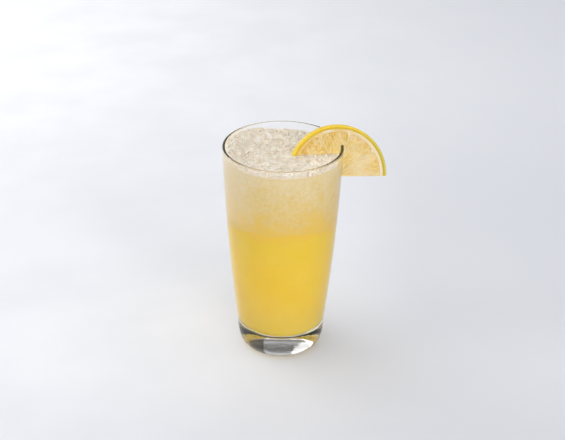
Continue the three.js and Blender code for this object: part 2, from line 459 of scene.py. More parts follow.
@dataclass(frozen=True)
class WetIce:
    """Crushed ice soaked in lemonade: creamy on top, yellower in patches lower down."""

    crown: Colour = srgb(248, 240, 226)
    cream: Colour = srgb(228, 214, 193)
    # Painted shade for the ice under the rim at the front.
    brim: Colour = srgb(216, 198, 172)
    upper: Colour = srgb(229, 209, 160)
    middle: Colour = srgb(228, 201, 128)
    soaked: Colour = srgb(235, 198, 88)
    vein: Colour = srgb(228, 188, 84)
    middle_height: Ramp = Ramp(98 * MM, 122 * MM)
    upper_height: Ramp = Ramp(122 * MM, 143 * MM)
    foot_height: Ramp = Ramp(97 * MM, 109 * MM, 0.9, 0.0)
    patches: Mottle = Mottle(70, 4.0, 0.8, Ramp(0.28, 0.72, -8 * MM, 8 * MM))
    specks: Mottle = Mottle(330, 4.0, 0.0, Ramp(0.3, 0.7, -2.8 * MM, 2.8 * MM))
    left_drop: Ramp = Ramp(-34 * MM, -10 * MM, -7 * MM, 0.0)
    # Painted light: how much paler the left of the sides is made.
    painted_left_light: Ramp = Ramp(-34 * MM, -12 * MM, 0.3, 0.0)
    clear_bits: Mottle = Mottle(420, 4.0, 0.4)
    clear_height: Ramp = Ramp(98 * MM, 122 * MM, 0.0, 0.14)
    seam_scale: float = 240
    seam_width: Ramp = Ramp(0.0, 0.1, 0.34, 0.0)
    seam_patches: Mottle = Mottle(90, 2.0, ramp=Ramp(0.35, 0.6))
    flecks: Mottle = Mottle(260, 3.0, 0.6, Ramp(0.42, 0.72))
    brim_shade_reach: Ramp = Ramp(32.5 * MM, 36 * MM)
    brim_shade_front: Ramp = Ramp(-25 * MM, -5 * MM, 0.75, 0.0)
    grain: Pitting = Pitting(600, 2.0, 0.02 * MM)
    roughness: float = 0.3
    open_glow: float = 0.5
    glow_reach: float = 1.2 * MM
    glow_tint: tuple[float, float, float] = (1.0, 0.9, 0.7)

    def side_colour(self, sheet: NodeSheet) -> Socket:
        """Colours the sides: soaked low down, paler in ragged patches above, and with painted light
        that makes the left side paler.

        Args:
            sheet: The sheet of the material's nodes.

        Returns:
            The colour's socket.
        """
        height, across = sheet.along("Z"), sheet.along("X")
        ragged = sheet.math("ADD", sheet.mottle(self.patches), sheet.mottle(self.specks))
        lowered = sheet.math("ADD", height, sheet.ramp(across, self.left_drop))
        place = sheet.math("ADD", lowered, ragged)
        colour = sheet.blend(sheet.ramp(place, self.middle_height), self.soaked, self.middle)
        colour = sheet.blend(sheet.ramp(place, self.upper_height), colour, self.upper)
        most = sheet.ramp(place, self.clear_height)
        clear = sheet.times(sheet.mottle(self.clear_bits), most)
        colour = sheet.blend(clear, colour, self.crown)
        seam = sheet.ramp(sheet.seams(self.seam_scale), self.seam_width)
        vein = sheet.times(seam, sheet.mottle(self.seam_patches))
        colour = sheet.blend(vein, colour, self.vein)
        # Painted light: the sides are made paler towards the left, as if more light fell there.
        colour = sheet.blend(sheet.ramp(across, self.painted_left_light), colour, self.crown)
        return sheet.blend(sheet.ramp(height, self.foot_height), colour, self.soaked)

    def open_colour(self, sheet: NodeSheet) -> Socket:
        """Colours what lies open: creamy, with painted shade under the rim at the front.

        Args:
            sheet: The sheet of the material's nodes.

        Returns:
            The colour's socket.
        """
        colour = sheet.blend(sheet.mottle(self.flecks), self.cream, self.crown)
        # Painted shade: darker next to the wall, under the rim, at the front only.
        edge = sheet.ramp(sheet.from_axis(), self.brim_shade_reach)
        front = sheet.ramp(sheet.along("Y"), self.brim_shade_front)
        return sheet.blend(sheet.times(edge, front), colour, self.brim)

    def material(self, name: str, gloss: float, faces: IceFaces) -> Material:
        """Builds the material.

        Args:
            name: The material's name.
            gloss: Specular level.
            faces: Which faces it is for.

        Returns:
            The new material.
        """
        made, sheet, shader = new_material(name)
        in_glass = faces is IceFaces.IN_GLASS
        colour = self.side_colour(sheet) if in_glass else self.open_colour(sheet)
        glow = Glow(0.0 if in_glass else self.open_glow, self.glow_reach, self.glow_tint)
        sheet.feed(shader, {
            "Base Color": colour, "Roughness": self.roughness, "Specular IOR Level": gloss,
            **glow.inputs(), "Normal": sheet.pitting(self.grain),
        })
        if in_glass:
            seen_through_glass(sheet, shader)
        return made


@dataclass(frozen=True)
class LemonPeel:
    """Waxy, finely pitted yellow peel, with painted shade towards its right end."""

    bright: Colour = srgb(248, 216, 40)
    # Painted shade for the peel's right end, away from the lamps at the left.
    deep: Colour = srgb(244, 202, 30)
    shaded: Colour = srgb(214, 194, 58)
    blotches: Mottle = Mottle(160, ramp=Ramp(0.35, 0.7))
    outward: Ramp = Ramp(45 * MM, 68 * MM)
    pore_scale: float = 1100
    pore_size: float = 0.5
    pore_depth: float = 0.06 * MM
    glow: Glow = Glow(0.3, 1.5 * MM, (1.0, 0.7, 0.2))

    def material(self) -> Material:
        """Builds the material.

        Returns:
            The new material.
        """
        made, sheet, shader = new_material("lemon_peel")
        colour = sheet.blend(sheet.mottle(self.blotches), self.bright, self.deep)
        # Painted shade: the peel darkens towards its right end, away from the lamps at the left.
        colour = sheet.blend(sheet.ramp(sheet.along("X"), self.outward), colour, self.shaded)
        pores = SpeckleGroup().on(sheet, self.pore_scale, self.pore_size)
        relief = sheet.math("SUBTRACT", 1.0, pores)
        sheet.feed(shader, {
            "Base Color": colour, "Roughness": 0.35, **self.glow.inputs(),
            "Normal": sheet.bump(relief, self.pore_depth),
        })
        return made


@dataclass(frozen=True)
class LemonPith:
    """Soft pale pith and membranes."""

    pale: Colour = srgb(247, 228, 196)
    warm: Colour = srgb(238, 200, 114)
    juicy: Colour = srgb(246, 220, 156)
    blotches: Mottle = Mottle(130, 4.0, ramp=Ramp(0.28, 0.52))
    inward: Ramp = Ramp(34 * MM, 52 * MM, 1.0, 0.3)
    juicy_edge: float = 2 * MM
    fibres: Pitting = Pitting(1500, 3.0, 0.08 * MM)
    glow: Glow = Glow(0.1, 0.6 * MM, (1.0, 0.8, 0.4))

    def material(self, centre: Vector, flesh_radius: float) -> Material:
        """Builds the material.

        Args:
            centre: The fruit's centre.
            flesh_radius: Where the flesh ends and the pith starts.

        Returns:
            The new material.
        """
        made, sheet, shader = new_material("lemon_pith")
        inward = sheet.ramp(sheet.along("X"), self.inward)
        share = sheet.times(sheet.mottle(self.blotches), inward)
        colour = sheet.blend(share, self.pale, self.warm)
        away = sheet.vector("DISTANCE", sheet.place(), tuple(centre)).outputs["Value"]
        inside = sheet.ramp(away, Ramp(flesh_radius - self.juicy_edge, flesh_radius, 1.0, 0.0))
        colour = sheet.blend(inside, colour, self.juicy)
        sheet.feed(shader, {
            "Base Color": colour, "Roughness": 0.6, **self.glow.inputs(),
            "Normal": sheet.pitting(self.fibres),
        })
        return made


@dataclass(frozen=True)
class LemonFlesh:
    """Juicy flesh: translucent sacs between pale walls, golden towards the pith."""

    juice: Colour = srgb(229, 190, 82)
    blush: Colour = srgb(235, 210, 161)
    gold: Colour = srgb(226, 176, 46)
    wall: Colour = srgb(233, 208, 140)
    blotches: Mottle = Mottle(110, ramp=Ramp(0.36, 0.58, 0.15, 1.0))
    outward: Ramp = Ramp(34 * MM, 48 * MM, 0.0, 0.9)
    grain: Pitting = Pitting(1200, 2.0, 0.05 * MM)
    glow: Glow = Glow(0.5, 1 * MM, (1.0, 0.85, 0.35))

    def material(self) -> Material:
        """Builds the material.

        Returns:
            The new material.
        """
        made, sheet, shader = new_material("lemon_flesh")
        outward = sheet.ramp(sheet.along("X"), self.outward)
        share = sheet.times(sheet.mottle(self.blotches), outward)
        colour = sheet.blend(share, self.juice, self.blush)
        colour = sheet.blend(sheet.paint("gold"), colour, self.gold)
        colour = sheet.blend(sheet.paint("sac_wall"), colour, self.wall)
        sheet.feed(shader, {
            "Base Color": colour, "Roughness": 0.22, **self.glow.inputs(),
            "Normal": sheet.pitting(self.grain),
        })
        return made


@dataclass(frozen=True)
class PaleFloor:
    """A matt off-white floor with very faint clouding, and painted shade that makes it a little
    darker to the right, near, and in a band beside and behind the glass.
    """

    light: Colour = srgb(244, 244, 247)
    dark: Colour = srgb(236, 237, 241)
    # Painted shade: the floor's colour to the right, away from the lamps at the left.
    right: Colour = srgb(228, 229, 234)
    # Painted shade: the floor's colour towards the front.
    near: Colour = srgb(204, 205, 212)
    # Painted shade: a darker band on the floor to both sides of the glass and behind it, deeper on
    # the right.
    beside: Colour = srgb(214, 215, 221)
    clouds: Mottle = Mottle(14, 4.0)
    right_shade_across: Ramp = Ramp(-0.35, 0.4)
    near_shade_away: Ramp = Ramp(-0.2, 0.04, 0.6, 0.0)
    near_shade_across: Ramp = Ramp(-0.2, -0.05, 0.68, 1.0)
    beside_shade_from: Ramp = Ramp(-0.06, 0.06)
    beside_shade_until: Ramp = Ramp(0.15, 0.5, 1.0, 0.0)
    beside_shade_apart: Ramp = Ramp(0.03, 0.12)
    beside_shade_across: Ramp = Ramp(-0.1, 0.1, 0.28, 0.62)

    def material(self) -> Material:
        """Builds the material.

        Returns:
            The new material.
        """
        made, sheet, shader = new_material("pale_floor")
        across, away = sheet.along("X"), sheet.along("Y")
        apart = sheet.math("ABSOLUTE", across)
        colour = sheet.blend(sheet.mottle(self.clouds), self.dark, self.light)
        # Painted shade: the floor darkens towards the right, away from the lamps at the left.
        colour = sheet.blend(sheet.ramp(across, self.right_shade_across), colour, self.right)
        # Painted shade: the floor darkens towards the front, and in a band beside and behind the
        # glass.
        shades = (
            (self.near, ((away, self.near_shade_away), (across, self.near_shade_across))),
            (self.beside, ((away, self.beside_shade_from), (away, self.beside_shade_until),
                           (apart, self.beside_shade_apart), (across, self.beside_shade_across))),
        )
        for shade, limits in shades:
            share = 1.0
            for place, ramp in limits:
                share = sheet.times(share, sheet.ramp(place, ramp))
            colour = sheet.blend(share, colour, shade)
        sheet.feed(shader, {"Base Color": colour, "Roughness": 0.7, "Specular IOR Level": 0.2})
        return made


def show(name: str, points: Array, faces: Faces) -> Object:
    """Makes a smoothly shaded mesh object and puts it in the scene.

    Args:
        name: The piece's name.
        points: Its points, in metres.
        faces: Each face's point numbers, anticlockwise from outside.

    Returns:
        The new object.
    """
    mesh = bpy.data.meshes.new(name)
    mesh.from_pydata([tuple(p) for p in points], [], faces)
    mesh.update()
    mesh.shade_smooth()
    made = bpy.data.objects.new(name, mesh)
    bpy.context.scene.collection.objects.link(made)
    return made


def dress(piece: Object, finish: Material, slot: Slot, node: str) -> None:
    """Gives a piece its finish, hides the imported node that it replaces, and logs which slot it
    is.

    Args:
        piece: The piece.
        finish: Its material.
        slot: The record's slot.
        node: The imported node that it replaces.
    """
    piece.data.materials.clear()
    piece.data.materials.append(finish)
    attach(piece, BODY)
    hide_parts(node)
    log.info("%s: %d faces, %s", piece.name, len(piece.data.polygons), slot.value)


def pairs(first: Array, second: Array) -> Array:
    """Puts two rows of numbers side by side."""
    return np.stack([first, second], 1)


def full_turn(count: int) -> Array:
    """Gives so many angles round a circle, evenly spaced."""
    return np.linspace(0, 2 * math.pi, count, endpoint=False)


def ring(angles: Array, radius: Array | float, height: Array | float) -> Array:
    """Gives a ring of points about the Z axis at these angles, radii and heights."""
    flat = height * np.ones_like(angles)
    return np.stack([radius * np.cos(angles), radius * np.sin(angles), flat], axis=1)


def bands(rings: int, around: int, first: int = 0, closed: bool = False) -> Faces:
    """Gives the faces between rings of points that lie one after another.

    Args:
        rings: How many rings there are.
        around: How many points each has.
        first: The first point's number.
        closed: Whether the last ring joins the first.

    Returns:
        The faces.
    """
    faces = []
    for row in range(rings if closed else rings - 1):
        low, high = first + row * around, first + (row + 1) % rings * around
        for a in range(around):
            b = (a + 1) % around
            faces.append((low + a, low + b, high + b, high + a))
    return faces


def turned(rows: list[Array], bottom: float, top: float) -> tuple[Array, Faces]:
    """Closes a stack of rings about the Z axis.

    Args:
        rows: Rings of points from the lowest to the highest round the outside, all with the
            same count.
        bottom: Height of the point on the axis that the first ring closes on.
        top: Height of the point that the last one closes on.

    Returns:
        The points and the faces.
    """
    around = len(rows[0])
    points = np.vstack([[[0, 0, bottom]], *rows, [[0, 0, top]]])
    last = len(points) - 1
    steps = [(a, (a + 1) % around) for a in range(around)]
    faces = [(0, 1 + b, 1 + a) for a, b in steps]
    faces += bands(len(rows), around, first=1)
    faces += [(last - around + a, last - around + b, last) for a, b in steps]
    return points, faces


@dataclass
class Tumbler:
    """The tall glass with its thick rounded base."""

    height: float
    rim_radius: float
    wall_draw: float = 4.7 * MM
    wall_belly: float = 7.5 * MM
    foot_radius: float = 22.2 * MM
    heel_height: float = 19.2 * MM
    heel_fullness: float = 2.4
    hollow_radius: float = 21.0 * MM
    hollow_depth: float = 1.1 * MM
    rim_wall: float = 2.0 * MM
    wall_gain: float = 0.8 * MM
    floor: float = 17.0 * MM
    fillet: float = 6.0 * MM
    around: int = 240
    wall_steps: int = 59
    heel_steps: int = 40
    hollow_steps: int = 24
    round_steps: int = 16

    @property
    def shoulder(self) -> float:
        """Height where the straight wall ends and the round rim starts."""
        return self.height - self.rim_wall / 2

    def outer(self, z: Array | float) -> Array | float:
        """Gives the outside radius at a height."""
        down = 1 - z / self.height
        return self.rim_radius - self.wall_draw * down - self.wall_belly * down**2

    def inner(self, z: Array | float) -> Array | float:
        """Gives the inside radius at a height."""
        return self.outer(z) - self.rim_wall - self.wall_gain * (1 - z / self.height)

    def heel(self) -> Array:
        """Gives the rounded heel's profile, from the foot up.

        Returns:
            Radius and height pairs.
        """
        turn = np.linspace(0, math.pi / 2, self.heel_steps + 1)
        reach = self.outer(self.heel_height) - self.foot_radius
        curve = 2 / self.heel_fullness
        across, up = np.sin(turn) ** curve, 1 - np.clip(np.cos(turn), 0, 1) ** curve
        return pairs(self.foot_radius + reach * across, self.heel_height * up)

    def hollow(self) -> Array:
        """Gives the shallow hollow of the underside, from near the axis out to the foot ring."""
        share = np.linspace(0, 1, self.hollow_steps + 1)[1:]
        return pairs(self.hollow_radius * share, self.hollow_depth * (1 - share**2))

    def bowl(self, steps: int, inset: float = 0.0) -> Array:
        """Gives the inner floor's round corner, from the floor up.

        Args:
            steps: How many pieces it is cut into.
            inset: How far it is drawn in, or out into the glass if negative.

        Returns:
            Radius and height pairs.
        """
        turn = np.linspace(-math.pi / 2, 0, steps + 1)
        z = self.floor + self.fillet
        middle = self.inner(z) - self.fillet
        radius = self.fillet - inset
        return pairs(middle + radius * np.cos(turn), z + radius * np.sin(turn))

    def rim(self, steps: int, grow: float = 0.0) -> Array:
        """Gives the round rim's profile, from outside to inside.

        Args:
            steps: How many pieces it is cut into.
            grow: How far it is swollen.

        Returns:
            Radius and height pairs, without the two shoulders.
        """
        half = self.rim_wall / 2
        middle = self.outer(self.shoulder) - half
        turn = np.linspace(0, math.pi, steps + 1)[1:-1]
        reach = half + grow
        return pairs(middle + reach * np.cos(turn), self.shoulder + reach * np.sin(turn))

    def profile(self) -> Array:
        """Gives the whole profile, from the foot round the outside to the inner floor.

        Returns:
            Radius and height pairs.
        """
        rise = np.linspace(self.heel_height, self.shoulder, self.wall_steps + 1)
        fall = np.linspace(self.shoulder, self.floor + self.fillet, self.wall_steps + 1)
        return np.vstack([
            self.hollow(), self.heel(), pairs(self.outer(rise), rise)[1:],
            self.rim(self.round_steps), pairs(self.inner(fall), fall),
            self.bowl(self.round_steps)[::-1][1:],
        ])

    def build(self) -> Object:
        """Builds the glass and dresses it.

        Returns:
            The piece.
        """
        angles = full_turn(self.around)
        rows = [ring(angles, r, z) for r, z in self.profile()]
        piece = show("tumbler", *turned(rows, self.hollow_depth, self.floor))
        dress(piece, ClearGlass().material(), Slot.GLASS, "glass")
        return piece


@dataclass
class Drink:
    """The lemonade, up to the uneven level where the ice starts."""

    glass: Tumbler
    level: float = 99.5 * MM
    lean: float = 3.0 * MM
    bite: float = 0.1 * MM
    around: int = 240
    wall_steps: int = 40
    bowl_steps: int = 10
    edge_angle: float = math.radians(40)

    def level_at(self, angle: Array) -> Array:
        """Gives the height where ice meets lemonade at an angle about the axis."""
        ripple = 0.8 * np.sin(5 * angle + 0.6) + 0.5 * np.sin(9 * angle + 2.1)
        return self.level - self.lean * np.cos(2 * angle) + ripple * MM

    def build(self) -> Object:
        """Builds the lemonade, which reaches just into the glass, and dresses it.

        Returns:
            The piece.
        """
        angles = full_turn(self.around)
        foot = self.glass.floor + self.glass.fillet
        rows = [ring(angles, r, z) for r, z in self.glass.bowl(self.bowl_steps, -self.bite)]
        for share in np.linspace(0, 1, self.wall_steps + 1)[1:]:
            z = foot + (self.level_at(angles) - foot) * share
            rows.append(ring(angles, self.glass.inner(z) + self.bite, z))
        piece = show("lemonade_fill", *turned(rows, self.glass.floor - self.bite, self.level))
        piece.data.set_sharp_from_angle(angle=self.edge_angle)
        dress(piece, CloudyLemonade().material(), Slot.LEMONADE, "lemonade")
        return piece


@dataclass
class SliceFrame:
    """Where the lemon slice hangs: its own X and Y lie in the cut face, Z points out of it."""

    centre: Vector = field(default_factory=lambda: Vector((36.1, -4.9, 131.6)) * MM)
    turn: float = math.radians(8)
    tilt: float = math.radians(18)

    def matrix(self) -> Matrix:
        """Gives the matrix from the slice's own frame to the object's.

        Returns:
            The matrix.
        """
        swing = Matrix.Rotation(self.turn, 4, "Z")
        lean = Matrix.Rotation(math.pi / 2 - self.tilt, 4, "X")
        return Matrix.Translation(self.centre) @ swing @ lean


@dataclass
class CrushedIce:
    """The layer of crushed ice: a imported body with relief, and loose crumbs on top."""

    glass: Tumbler
    drink: Drink
    place: SliceFrame
    level: float = 144.7 * MM
    heap: float = 3.9 * MM
    heap_from: float = 0.6
    heap_angle: float = math.radians(165)
    heap_facing: tuple[float, float] = (0.3, 0.95)
    bite: float = 0.1 * MM
    around: int = 420
    side_rings: int = 90
    top_rings: int = 80
    side_dent: float = 0.04 * MM
    side_grain: float = 1.1 * MM
    side_fade: float = 4 * MM
    top_rise: float = 0.3 * MM
    top_grain: float = 0.9 * MM
    top_facing: float = 0.5
    pack_edge: float = math.radians(60)
    crumbs: int = 900
    crumb_size: float = 1.9 * MM
    crumb_sizes: tuple[float, float] = (0.55, 1.25)
    crumb_widths: tuple[float, float] = (0.6, 1.0)
    crumb_heights: tuple[float, float] = (0.45, 0.8)
    crumb_margin: float = 0.6
    crumb_sway: float = 0.2
    crumb_rise: tuple[float, float] = (-1.35 * MM, -0.25 * MM)
    crumb_edge: float = math.radians(28)
    chip_kinds: int = 30
    chip_cuts: int = 9
    chip_cut_reach: tuple[float, float] = (0.55, 0.85)
    slice_reach: float = 33 * MM
    slice_back: float = -5.2 * MM
    slice_front: float = -0.3 * MM
    seed: int = 11

    def relief(self, x: Array, y: Array, z: Array, grain: float) -> Array:
        """Gives smooth bumps over a surface.

        Args:
            x: The points' X.
            y: Their Y.
            z: Their Z.
            grain: The bumps' size, in metres.

        Returns:
            Numbers between -1 and 1.
        """
        # Three warped waves whose factors don't repeat, so that no pattern shows
        first = np.sin(x / grain + 1.7 * np.sin((y - z) / (1.3 * grain)))
        second = np.sin((y + z) / grain + 1.9 * np.cos(x / (1.4 * grain) + 0.8))
        third = np.sin((x - z) / (0.6 * grain) + 1.3 * np.sin(y / (0.8 * grain)))
        return (first + second + 0.6 * third) / 2.6

    def top_at(self, x: Array, y: Array) -> Array:
        """Gives the height of the ice's top, which is heaped against one side of the glass.

        Args:
            x: The points' X.
            y: Their Y.

        Returns:
            Their heights.
        """
        reach = np.hypot(x, y) / self.glass.inner(self.level)
        facing = np.cos(np.arctan2(y, x) - self.heap_angle)
        share = smooth_step(self.heap_from, 1.0, reach) * smooth_step(*self.heap_facing, facing)
        return self.level + self.heap * share

    def packed(self) -> Object:
        """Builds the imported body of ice.

        Returns:
            The piece.
        """
        angles = full_turn(self.around)
        across, away = np.cos(angles), np.sin(angles)
        rows = []
        brim = self.glass.inner(self.level) + self.bite
        top, foot = self.top_at(brim * across, brim * away), self.drink.level_at(angles)
        for share in np.linspace(0, 1, self.side_rings):
            z = foot + (top - foot) * share
            reach = self.glass.inner(z) + self.bite
            bumps = 1 + self.relief(reach * across, reach * away, z, self.side_grain)
            dent = self.side_dent * bumps * smooth_step(0, self.side_fade, z - foot)
            rows.append(ring(angles, reach - dent, z))
        brim = self.glass.inner(top) + self.bite
        for share in np.linspace(1, 0, self.top_rings)[1:-1]:
            x, y = brim * share * across, brim * share * away
            rise = self.top_rise * self.relief(x, y, 0 * x, self.top_grain)
            rows.append(ring(angles, brim * share, self.top_at(x, y) + rise))
        piece = show("ice_pack", *turned(rows, self.drink.level, self.level))
        piece.data.set_sharp_from_angle(angle=self.pack_edge)
        return piece

    def chip(self, ball: Array, random: Random) -> Array:
        """Gives the points of one chip of ice about 2 units across: a ball cut by planes.

        Args:
            ball: The ball's points, 1 unit from its middle.
            random: Where its numbers come from.

        Returns:
            The points, in the order of the ball's.
        """
        reach = np.ones(len(ball))
        for _ in range(self.chip_cuts):
            normal = np.array([random.gauss(0, 1) for _ in range(3)])
            normal /= np.linalg.norm(normal)
            facing = np.maximum(ball @ normal, 1e-3)  # points behind the plane stay
            reach = np.minimum(reach, random.uniform(*self.chip_cut_reach) / facing)
        return ball * reach[:, None]

    def in_slice(self, point: Vector) -> bool:
        """Tells whether a point is in the lemon slice or right beside it."""
        spot = self.place.matrix().inverted() @ point
        return (math.hypot(spot.x, spot.y) < self.slice_reach
                and self.slice_back < spot.z < self.slice_front)

    def loose(self) -> Object:
        """Scatters loose crumbs over the top and joins them into one mesh.

        Returns:
            The piece.
        """
        random = Random(self.seed)
        source = bmesh.new()
        bmesh.ops.create_icosphere(source, subdivisions=2, radius=1.0)
        ball = np.array([v.co[:] for v in source.verts])
        triangles = [tuple(v.index for v in f.verts) for f in source.faces]
        source.free()
        kinds = [self.chip(ball, random) for _ in range(self.chip_kinds)]
        golden = math.pi * (3 - math.sqrt(5))
        points: list[Array] = []
        faces: Faces = []
        reach = self.glass.inner(self.level)
        for number in range(self.crumbs):
            size = self.crumb_size * random.uniform(*self.crumb_sizes)
            widest = reach - self.crumb_margin * size
            radius = widest * math.sqrt((number + 0.5) / self.crumbs)
            angle = golden * number + random.uniform(-self.crumb_sway, self.crumb_sway)
            x, y = radius * math.cos(angle), radius * math.sin(angle)
            middle = Vector((x, y, float(self.top_at(x, y)) + random.uniform(*self.crumb_rise)))
            if self.in_slice(middle):
                continue
            width, height = random.uniform(*self.crumb_widths), random.uniform(*self.crumb_heights)
            spin = Euler([random.uniform(0, 2 * math.pi) for _ in range(3)]).to_matrix()
            shape = kinds[number % len(kinds)] * np.array([1.0, width, height]) * size
            start = len(points) * len(ball)
            points.append(shape @ np.array(spin).T + np.array(middle))
            faces += [tuple(start + i for i in t) for t in triangles]
        piece = show("ice_crumbs", np.vstack(points), faces)
        piece.data.set_sharp_from_angle(angle=self.crumb_edge)
        return piece

    def build(self) -> list[Object]:
        """Builds both pieces of the ice and dresses them.

        Returns:
            The pieces.
        """
        packed, loose, finish = self.packed(), self.loose(), WetIce()
        sides = finish.material("packed_ice", 0.0, IceFaces.IN_GLASS)
        dress(packed, sides, Slot.ICE, "crushed_ice")
        packed.data.materials.append(finish.material("ice_top", 0.3, IceFaces.OPEN))
        for face in packed.data.polygons:
            if face.normal.z > self.top_facing:
                face.material_index = 1
        crumbs = finish.material("ice_crumbs", 0.35, IceFaces.OPEN)
        dress(loose, crumbs, Slot.ICE, "crushed_ice")
        return [packed, loose]


def cut(piece: Object, tool: Object) -> None:
    """Cuts one mesh out of another.

    Args:
        piece: The mesh that is cut.
        tool: The mesh that is taken away from it.
    """
    step = piece.modifiers.new("cut", "BOOLEAN")
    step.operation = "DIFFERENCE"
    step.solver = "MANIFOLD"
    step.object = tool
    graph = bpy.context.evaluated_depsgraph_get()
    done = bpy.data.meshes.new_from_object(piece.evaluated_get(graph))
    piece.modifiers.clear()
    old = piece.data
    piece.data = done
    done.name = piece.name
    bpy.data.meshes.remove(old)


@dataclass
class LemonSlice:
    """The half slice of lemon: peel, pith with its membranes, and the flesh segments."""

    glass: Tumbler
    place: SliceFrame
    radius: float = 32.8 * MM
    thickness: float = 5.5 * MM
    drop: float = 1.1 * MM
    slope: float = math.radians(2.2)
    arc: tuple[float, float] = (math.radians(-20), math.radians(200))
    zest: float = 2.4 * MM
    zest_round: float = 0.45 * MM
    skin: float = 0.3 * MM
    pith: float = 1.9 * MM
    membrane: float = 0.55 * MM
    core: float = 2.6 * MM
    core_gap: float = 0.4 * MM
    segments: int = 9
    shown: range = range(-1, 4)
    first_membrane: float = math.radians(32)
    segment_round: float = 3.0 * MM
    sunk: float = 0.12 * MM
    slit_play: float = 0.08 * MM
    slit_bottom: float = 115 * MM
    pores: int = 4200
    pore_reach: float = 0.3 * MM
    pore_depth: float = 0.07 * MM
    sac_count: int = 60
    sac_stretch: float = 3.2
    sac_fan: float = 0.75
    sac_relief: float = 0.22 * MM
    sac_round: float = 0.9 * MM
    sac_wall: tuple[float, float] = (0.05 * MM, 0.35 * MM)
    blot_across: float = 1.9 * MM
    blot_up: float = 1.6 * MM
    blot_depth: float = 0.55
    ripe_until: float = 0.98
    heart: float = 0.35
    heart_reach: tuple[float, float] = (0.2, 0.5)
    dome_gold: float = 0.45
    peel_steps: int = 560
    pith_steps: int = 200
    corner_steps: int = 4
    belly_steps: int = 23
    slit_steps: int = 23
    slit_round_steps: int = 12
    face_grid: tuple[int, int] = (56, 84)
    outline_grid: tuple[int, int] = (40, 12)
    seed: int = 5
    ripe: dict[int, tuple[float, float]] = field(default_factory=lambda: {
        -1: (0.8, 0.55), 0: (0.78, 0.5), 1: (0.66, 1.0), 2: (0.45, 1.6), 3: (0.3, 2.2),
    })

    @property
    def flesh_radius(self) -> float:
        """Where the flesh ends and the pith starts."""
        return self.radius - self.zest - self.pith

    @property
    def sector(self) -> float:
        """The angle of one segment with its membrane."""
        return 2 * math.pi / self.segments

    def tools(self) -> list[Object]:
        """Makes the two cutting bodies: below the flat cut, and where the glass's wall is.

        Returns:
            Both bodies, in the object's frame.
        """
        matrix = self.place.matrix() @ Matrix.Rotation(-self.slope, 4, "Z")
        wide, deep = 2 * self.radius, 3 * self.thickness
        corners = [
            matrix @ Vector((x, y, z))
            for x in (-wide, wide) for y in (-wide, -self.drop) for z in (-deep, deep)
        ]
        sides = [(0, 1, 3, 2), (4, 6, 7, 5), (0, 4, 5, 1), (2, 3, 7, 6), (0, 2, 6, 4), (1, 5, 7, 3)]
        below = show("below_cut", np.array(corners), sides)
        rise = np.linspace(self.slit_bottom, self.glass.shoulder, self.slit_steps + 1)
        outside = pairs(self.glass.outer(rise) + self.slit_play, rise)
        inside = pairs(self.glass.inner(rise) - self.slit_play, rise)[::-1]
        rim = self.glass.rim(self.slit_round_steps, self.slit_play)
        angles = full_turn(self.glass.around)
        rows = [ring(angles, r, z) for r, z in np.vstack([outside, rim, inside])]
        wall = show("wall_space", np.vstack(rows), bands(len(rows), len(angles), closed=True))
        return [below, wall]

    def placed(self, name: str, points: Array, faces: Faces) -> Object:
        """Shows a mesh that is given in the slice's own frame.

        Args:
            name: The piece's name.
            points: Its points, in the slice's frame.
            faces: Its faces.

        Returns:
            The piece, in the object's frame.
        """
        matrix = np.array(self.place.matrix())
        piece = show(name, points @ matrix[:3, :3].T + matrix[:3, 3], faces)
        shape = bmesh.new()
        shape.from_mesh(piece.data)
        bmesh.ops.recalc_face_normals(shape, faces=shape.faces)
        shape.to_mesh(piece.data)
        shape.free()
        return piece

    def peel_section(self) -> Array:
        """Gives the rind's section, with two rounded corners outside.

        Returns:
            Distance from the fruit's centre and depth in the slice, once round.
        """
        soft, inner = self.zest_round, self.radius - self.zest
        corner = np.linspace(0, math.pi / 2, self.corner_steps + 1)
        front = pairs(self.radius - soft + soft * np.sin(corner), soft * np.cos(corner) - soft)
        back = pairs(front[::-1, 0], -self.thickness - front[::-1, 1])
        belly = np.linspace(-soft, -self.thickness + soft, self.belly_steps + 1)[1:-1]
        skin = pairs(np.full_like(belly, self.radius), belly)
        return np.vstack([front, skin, back, [[inner, -self.thickness], [inner, 0.0]]])

    def peel(self) -> Object:
        """Builds the outer rind with its pores.

        Returns:
            The piece.
        """
        turn = np.linspace(*self.arc, self.peel_steps)
        section = self.peel_section()
        skin_share = smooth_step(self.radius - self.skin, self.radius, section[:, 0])
        pores, random = KDTree(self.pores), Random(self.seed)
        length = self.radius * (turn[-1] - turn[0])
        for number in range(self.pores):
            along, depth = random.uniform(0, length), random.uniform(-self.thickness, 0)
            pores.insert((along, depth, 0), number)
        pores.balance()
        points = []
        for angle in turn:
            along = self.radius * (angle - turn[0])
            for (reach, depth), share in zip(section, skin_share):
                near = pores.find((along, depth, 0))[2] if share > 0 else 1.0
                dent = self.pore_depth * max(0.0, 1 - near / self.pore_reach) * share
                out = reach - dent
                points.append((out * math.cos(angle), out * math.sin(angle), depth))
        around = len(section)
        faces = bands(len(turn), around)
        faces.append(tuple(range(around))[::-1])
        faces.append(tuple(range((len(turn) - 1) * around, len(turn) * around)))
        return self.placed("lemon_peel", np.array(points), faces)

    def side_angles(self, index: int, along: Array) -> tuple[Array, Array]:
        """Gives the two sides of a segment at distances from the fruit's centre.

        Args:
            index: The segment's number.
            along: Distances from the centre.

        Returns:
            The angles of its first and its second side there.
        """
        start = self.first_membrane + self.sector * index
        slim = np.arcsin(np.clip(self.membrane / 2 / along, 0, 1))
        return start + slim, start + self.sector - slim

